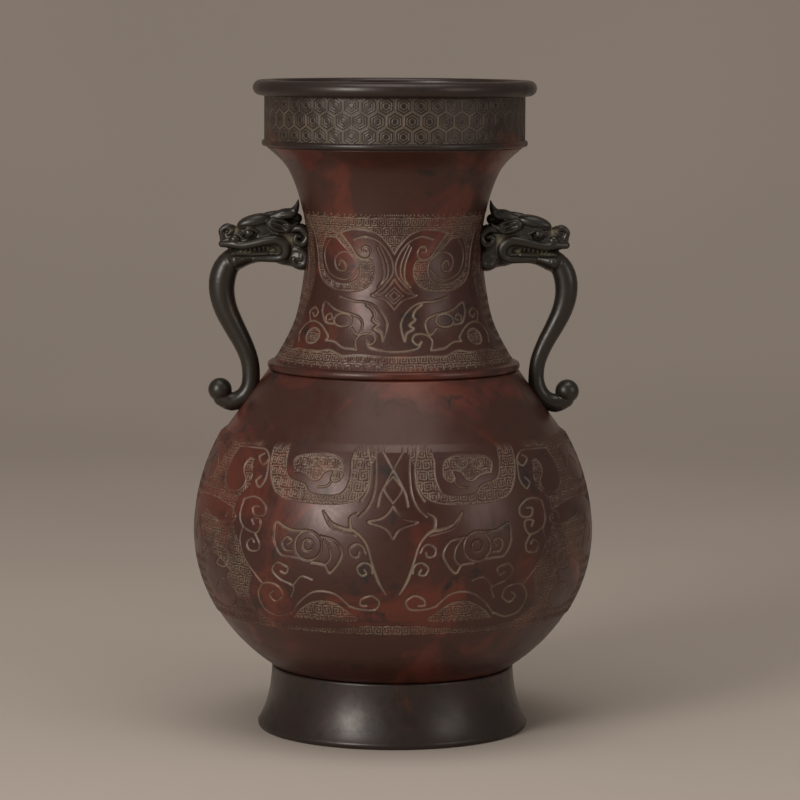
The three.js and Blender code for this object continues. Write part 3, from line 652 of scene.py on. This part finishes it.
class Clay:
    """A block of clay as a field of distances to its surface. Only the half with y over 0 is kept."""

    def __init__(self, low, high, step):
        self.low = np.array(low, float)
        self.step = step
        self.size = [int(round((b - a) / step)) + 1 for a, b in zip(low, high)]
        self.axes = [a + step * np.arange(n) for a, n in zip(low, self.size)]
        self.field = np.full(self.size, 20.0, np.float32)

    def window(self, low, high):
        out = []
        for axis, a, b in zip(self.axes, low, high):
            start = max(np.searchsorted(axis, a) - 1, 0)
            stop = min(np.searchsorted(axis, b) + 1, len(axis))
            out.append(slice(start, stop))
        return tuple(out)

    def grid(self, where):
        x = self.axes[0][where[0]].astype(np.float32)[:, None, None]
        y = self.axes[1][where[1]].astype(np.float32)[None, :, None]
        z = self.axes[2][where[2]].astype(np.float32)[None, None, :]
        return x, y, z

    def put(self, where, shape, soft, cut):
        old = self.field[where]
        if cut:
            share = np.clip(0.5 - 0.5 * (old + shape) / soft, 0, 1)
            new = old * (1 - share) - shape * share + soft * share * (1 - share)
        else:
            share = np.clip(0.5 + 0.5 * (shape - old) / soft, 0, 1)
            new = shape * (1 - share) + old * share - soft * share * (1 - share)
        self.field[where] = new

    def egg(self, middle, radii, tilt=0.0, soft=2.0, cut=False):
        """An egg-shaped lump, or hollow, turned by a tilt in degrees in the x-z plane."""
        reach = max(radii) + soft + 1
        where = self.window([m - reach for m in middle], [m + reach for m in middle])
        x, y, z = self.grid(where)
        c = math.cos(math.radians(tilt))
        s = math.sin(math.radians(tilt))
        u = c * (x - middle[0]) + s * (z - middle[2])
        v = y - middle[1]
        w = -s * (x - middle[0]) + c * (z - middle[2])
        a, b, d = radii
        first = np.sqrt((u / a) ** 2 + (v / b) ** 2 + (w / d) ** 2)
        second = np.sqrt((u / a**2) ** 2 + (v / b**2) ** 2 + (w / d**2) ** 2) + 1e-6
        self.put(where, first * (first - 1) / second, soft, cut)

    def roll(self, stations, soft=1.0, cut=False, flat=1.0, steps=5):
        """A rounded roll, or groove, through stations (x, y, z, radius)."""
        line = spline(stations, steps)
        reach = line[:, 3].max() * max(flat, 1.0) + soft + 1
        where = self.window(line[:, :3].min(axis=0) - reach, line[:, :3].max(axis=0) + reach)
        x, y, z = self.grid(where)
        nearest = None
        for (x0, y0, z0, r0), (x1, y1, z1, r1) in zip(line[:-1], line[1:]):
            dx, dy, dz = x1 - x0, y1 - y0, z1 - z0
            along = ((x - x0) * dx + (y - y0) * dy + (z - z0) * dz) / (dx * dx + dy * dy + dz * dz + 1e-9)
            along = np.clip(along, 0, 1)
            gap = np.sqrt((x - x0 - along * dx) ** 2 + ((y - y0 - along * dy) / flat) ** 2
                          + (z - z0 - along * dz) ** 2) - (r0 + along * (r1 - r0))
            nearest = gap if nearest is None else np.minimum(nearest, gap)
        self.put(where, nearest.astype(np.float32), soft, cut)

    def skin(self):
        """Points and quads of the surface, both halves together."""
        whole_field = np.concatenate([self.field[:, :0:-1, :], self.field], axis=1)
        inside = whole_field < 0
        nx, ny, nz = (n - 1 for n in whole_field.shape)
        total = np.zeros((nx, ny, nz, 3), np.float32)
        count = np.zeros((nx, ny, nz), np.float32)
        for axis in range(3):
            others = [a for a in range(3) if a != axis]
            for p in (0, 1):
                for q in (0, 1):
                    first = [slice(0, n) for n in (nx, ny, nz)]
                    first[others[0]] = slice(p, p + (nx, ny, nz)[others[0]])
                    first[others[1]] = slice(q, q + (nx, ny, nz)[others[1]])
                    second = list(first)
                    second[axis] = slice(1, None)
                    a = whole_field[tuple(first)]
                    b = whole_field[tuple(second)]
                    crossed = (a < 0) != (b < 0)
                    share = np.where(crossed, a / np.where(crossed, a - b, 1), 0)
                    total[..., axis] += share
                    total[..., others[0]] += np.where(crossed, p, 0)
                    total[..., others[1]] += np.where(crossed, q, 0)
                    count += crossed
        used = count > 0
        number = np.full(used.shape, -1, np.int64)
        number[used] = np.arange(used.sum())
        corner = np.argwhere(used)
        points = corner + total[used] / count[used][:, None]
        points = points * self.step
        points[:, 0] += self.axes[0][0]
        points[:, 1] -= self.axes[1][-1]
        points[:, 2] += self.axes[2][0]
        faces = []
        for axis in range(3):
            others = [(axis + 1) % 3, (axis + 2) % 3]
            first = [slice(1, -1)] * 3
            second = [slice(1, -1)] * 3
            first[axis] = slice(0, -1)
            second[axis] = slice(1, None)
            a = inside[tuple(first)]
            b = inside[tuple(second)]
            place = np.argwhere(a != b)
            out = a[a != b]
            place = place + 1
            place[:, axis] -= 1
            back0 = np.zeros(3, int)
            back0[others[0]] = 1
            back1 = np.zeros(3, int)
            back1[others[1]] = 1
            steps_back = (back0 + back1, back1, np.zeros(3, int), back0)
            quad = np.stack([number[tuple((place - s).T)] for s in steps_back], axis=1)
            quad[~out] = quad[~out][:, ::-1]
            faces.append(quad)
        return points, np.concatenate(faces)


def sculpt_handle(girth, step):
    """The beast's head with open mouth and the scroll that comes out of it, at +X."""
    clay = Clay((49, 0, 192), (118, 16, 330), step)
    # Masses of the head
    clay.egg((81, 0, 305), (17, 9.0, 10.5), soft=3)
    clay.egg((66, 0, 300), (13, 10.0, 14), soft=4)
    clay.egg((57, 0, 296), (8, 9.5, 13), soft=4)
    clay.egg((91, 0, 303), (13, 7.5, 5.5), soft=3)
    clay.egg((101, 0, 303.5), (6.5, 6.4, 7.2), soft=2)
    clay.roll([(57, 0, 291.5, 7), (62, 0, 292, 5.6), (69, 0, 292, 3.9), (78, 0, 292, 3.6),
               (88, 0, 291.4, 4.4),
               (97, 0, 289.4, 6.4)], soft=2, flat=1.6)
    # Brow, eye with its lids, and the hollow behind it
    clay.egg((85.6, 5.0, 313.2), (11.2, 4.6, 4.2), tilt=-13, soft=1.2)
    clay.egg((89, 8.6, 305.6), (5, 2.6, 3.2), soft=1.0, cut=True)
    clay.egg((88.8, 7.4, 306.2), (2.9, 2.5, 2.6), soft=0.5)
    clay.roll([(93.4, 7.4, 304.6, 0.7), (91, 8.6, 308.2, 0.9), (87.5, 9.2, 309.2, 1.0),
               (83.5, 9.2, 307, 0.8)], soft=0.7)
    clay.roll([(96, 6.4, 309.6, 0.5), (90, 9, 310.2, 0.7), (82, 10, 310, 0.8),
               (76, 9.8, 309.6, 0.6)], soft=0.6, cut=True)
    # Ear: a leaf with a hollow and a rib
    clay.egg((70.4, 9.2, 311), (8.6, 2.9, 4.6), tilt=14, soft=0.8)
    clay.egg((69.6, 12.2, 311.2), (6.2, 2.4, 3.0), tilt=14, soft=0.8, cut=True)
    clay.roll([(76, 10.6, 313.4, 0.7), (70, 11, 311.4, 0.8), (64, 10.6, 309.4, 0.6)], soft=0.6)
    clay.roll([(65, 9.6, 310, 2.0), (61.5, 9.6, 311.2, 1.3), (58.6, 9.3, 313.2, 0.4)], soft=0.8)
    # Horn and the crest in front of it
    clay.roll([(74, 5.2, 316.4, 2.2), (68, 6.2, 317.6, 3.2), (63, 6.8, 318.2, 3.0), (60.4, 7.0, 321.6, 1.8),
               (59.2, 7.0, 326.3, 0.35)], soft=0.9)
    clay.roll([(73, 8.6, 317.4, 0.5), (67, 9.6, 318.6, 0.6), (62.2, 9.4, 320, 0.5)], soft=0.5, cut=True)
    clay.roll([(78, 0, 316.4, 2.6), (70, 0, 317, 3.0), (60, 0, 315, 3.4)], soft=1.5)
    # Nose with a curled wing, and the nostril's ball
    clay.egg((101.5, 0, 308.6), (4.8, 5.2, 2.8), soft=1.0)
    clay.roll([(104.8, 4.2, 303.2, 2.0), (106, 4.4, 307.4, 1.9), (102.8, 5.2, 309.8, 1.8),
               (99.8, 5.9, 307.8, 1.5),
               (101.6, 6.5, 305.6, 1.1)], soft=0.5)
    clay.egg((97.6, 6.4, 302.4), (3.6, 3.2, 2.9), soft=0.5)
    clay.egg((103.4, 6.6, 307.2), (1.0, 1.6, 1.0), soft=0.4, cut=True)
    # Upper lip, which rolls round the corner of the mouth into the jaw
    clay.roll([(105.6, 3.6, 299.4, 2.3), (99.5, 6.4, 299.4, 2.3), (93, 7.6, 298.6, 2.5),
               (86, 8.3, 299.8, 2.8),
               (78, 8.9, 301.6, 3.1), (71.5, 9.1, 302.2, 3.3), (67, 8.8, 299.2, 3.4), (66.2, 8.2, 294.4, 3.3),
               (69.6, 7.2, 291.2, 2.7), (77, 6.6, 290.6, 2.2), (86, 6.6, 290.6, 1.8)], soft=0.6)
    clay.roll([(94, 10.2, 302.2, 0.5), (86, 10.6, 303.2, 0.6), (78, 11.2, 305, 0.6), (71, 11.4, 306, 0.5)],
              soft=0.5, cut=True)
    # Mouth, with teeth behind the lip
    clay.roll([(99, 9.2, 293.4, 1.3), (90, 9.2, 294, 2.0), (81, 9.2, 295, 2.2), (74.2, 9.2, 296, 2.0)],
              soft=0.7, cut=True, flat=2.3)
    for n in range(7):
        clay.egg((93.5 - 2.7 * n, 5.6, 296.2 + 0.22 * n), (1.15, 1.2, 2.0), soft=0.3)
    clay.roll([(98, 3.5, 292.6, 1.3), (88, 4.6, 292.6, 1.6), (78, 4.8, 293.6, 1.5)], soft=0.6)
    # Curls of the mane
    clay.roll([(63.4, 8.4, 308.2, 1.7), (57.4, 9.2, 309.2, 2.3), (53.2, 9.3, 304.6, 2.5),
               (56, 9.5, 299.8, 2.3),
               (60.4, 9.7, 301.6, 1.9), (59.8, 10, 304.8, 1.5), (57.2, 10.2, 304.4, 1.1)], soft=0.35)
    clay.roll([(64, 7.6, 295.6, 1.6), (59, 8.4, 296.2, 2.2), (54.4, 8.6, 293, 2.6), (55, 8.6, 287.6, 2.5),
               (59.8, 8.4, 286.8, 2.2), (61.4, 8.8, 290.4, 1.9), (58.6, 9.0, 291.6, 1.4)], soft=0.45)
    clay.roll([(67, 10, 306.8, 0.6), (63.6, 11, 303.6, 0.8), (62.4, 11, 298.6, 0.8), (64, 10.4, 290, 0.6)],
              soft=0.6, cut=True)
    # Scroll: down, in to the shoulder and out into a curled end
    g = girth
    clay.roll([(88, 0, 292.5, 5.0 * g), (95.5, 0, 292, 6.3 * g), (102.2, 0, 286.5, 7.6 * g),
               (105.6, 0, 278.5, 8.1 * g),
               (106, 0, 269, 7.8 * g), (103.6, 0, 259, 7.2 * g), (98.8, 0, 248.8, 6.6 * g),
               (93.4, 0, 238.6, 6.0 * g),
               (89.2, 0, 228, 5.6 * g), (88, 0, 218, 5.5 * g), (89.2, 0, 210, 5.5), (93.4, 0, 204.2, 5.6),
               (100, 0, 201.6, 5.7), (106, 0, 204, 5.4)], soft=1.2, steps=3)
    clay.egg((107.2, 0, 209), (7.3, 7.0, 7.3), soft=0.5)
    clay.roll([(99.6, 4.5, 211, 0.5), (101.4, 6.4, 205.4, 0.6), (106.4, 7.2, 202.4, 0.6),
               (111.4, 6, 204, 0.4)],
              soft=0.5, cut=True)
    # The side against the jar
    x, y, z = clay.grid((slice(None), slice(None), slice(None)))
    radius = np.sqrt(x * x + y * y)
    jar = np.where(z > NECK_POINTS[0][1], np.interp(z, NECK_LINE[:, 1], NECK_LINE[:, 0]),
                   NECK_BASE[0] + (NECK_BASE[1] - z) * 0.739)
    clay.field = np.maximum(clay.field, (jar - 0.25 - radius) * 0.8).astype(np.float32)
    return clay.skin()


def put_handle(name, girth, turn, node):
    points, faces = sculpt_handle(girth, 0.4)
    x, y, z = points.T
    green = np.exp(-(((x - 64.4) / 2.4) ** 2 + ((z - 302.4) / 2.6) ** 2))
    green += 0.8 * np.exp(-(((x - 97.5) / 2.2) ** 2 + ((z - 308) / 1.8) ** 2))
    green += 0.9 * np.exp(-(((x - 75.6) / 2.0) ** 2 + ((z - 295.8) / 1.4) ** 2))
    green += 0.35 * np.exp(-(((x - 90) / 9.0) ** 2 + ((z - 294.6) / 1.3) ** 2))
    c = math.cos(turn)
    s = math.sin(turn)
    placed = np.column_stack([c * x - s * y, s * x + c * y, z]) * 0.001
    mesh = bpy.data.meshes.new(name)
    mesh.from_pydata(placed.tolist(), [], faces.tolist())
    mesh.update()
    store = mesh.attributes.new("dust", "FLOAT", "POINT")
    store.data.foreach_set("value", np.clip(green, 0, 1))
    mesh.shade_smooth()
    mesh.materials.append(BLACK)
    thing = bpy.data.objects.new(name, mesh)
    bpy.context.scene.collection.objects.link(thing)
    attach(thing, "root")
    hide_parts(node)
    return thing


put_handle("handle_sculpt_right", 0.87, 0.0, "handle_right")
put_handle("handle_sculpt_left", 1.0, math.pi, "handle_left")

# The CAD model's own pieces that stay take a patinated bronze or solder
for name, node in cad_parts.items():
    node.data.materials.clear()
    if name.startswith("solder"):
        node.data.materials.append(SOLDER)
    elif name.startswith("handle"):
        node.data.materials.append(BLACK)
        node.data.shade_smooth()
    else:
        node.data.materials.append(DARK)

# Floor and backdrop in one sweep
sweep = bpy.data.meshes.new("backdrop")
bend = [(1.4 + 1.2 * math.sin(a), 1.2 - 1.2 * math.cos(a)) for a in np.linspace(0, math.pi / 2, 16)]
path = [(-3.2, 0.0)] + bend + [(2.6, 5.0)]
corners = [(x, y, z) for y, z in path for x in (-4.0, 4.0)]
quads = [(2 * i, 2 * i + 1, 2 * i + 3, 2 * i + 2) for i in range(len(path) - 1)]
sweep.from_pydata(corners, [], quads)
sweep.shade_smooth()
backdrop = bpy.data.objects.new("backdrop", sweep)
bpy.context.scene.collection.objects.link(backdrop)
material, tree, shader = nodes_of("paper")
paper = ramp(tree, noise(tree, 1.2, 2.0), 0.2, 0.8)
tree.links.new(mix(tree, paper, (0.50, 0.44, 0.39), (0.55, 0.48, 0.43)), shader.inputs["Base Color"])
shader.inputs["Roughness"].default_value = 0.9
sweep.materials.append(material)


# Lamps: a tall soft box on the left, a weak one on the right and a broad one above


def lamp(name, place, target, width, height, power, color=(1.0, 0.96, 0.9)):
    data = bpy.data.lights.new(name, "AREA")
    data.shape = "RECTANGLE"
    data.size = width
    data.size_y = height
    data.energy = power
    data.color = color
    thing = bpy.data.objects.new(name, data)
    thing.location = place
    thing.rotation_euler = (Vector(target) - Vector(place)).to_track_quat("-Z", "Y").to_euler()
    bpy.context.scene.collection.objects.link(thing)


lamp("key", (-1.3, -1.7, 0.9), (0, 0, 0.2), 0.7, 1.1, 26)
lamp("fill", (1.9, -1.4, 0.9), (0, 0, 0.2), 0.9, 1.2, 7)
lamp("top", (0.0, -0.4, 2.2), (0, 0, 0.2), 1.6, 1.2, 14)
world = bpy.data.worlds.new("room")
bpy.context.scene.world = world
world.use_nodes = True
world.node_tree.nodes["Background"].inputs["Color"].default_value = (0.55, 0.5, 0.46, 1)
world.node_tree.nodes["Background"].inputs["Strength"].default_value = 0.35
bpy.context.scene.view_settings.view_transform = "Standard"

# Camera at the photograph's angle: level with the mouth, looking slightly down
camera = bpy.data.objects.new("camera", bpy.data.cameras.new("camera"))
bpy.context.scene.collection.objects.link(camera)
bpy.context.scene.camera = camera
camera.data.lens = 161.1
camera.data.sensor_width = 36.0
camera.location = (0.004, -2.2, 0.44)
aim = (Vector((0.004, 0.0, 0.203)) - camera.location).to_track_quat("-Z", "Y").to_matrix()
camera.rotation_euler = (aim @ Matrix.Rotation(math.radians(0.27), 3, "Z")).to_euler()
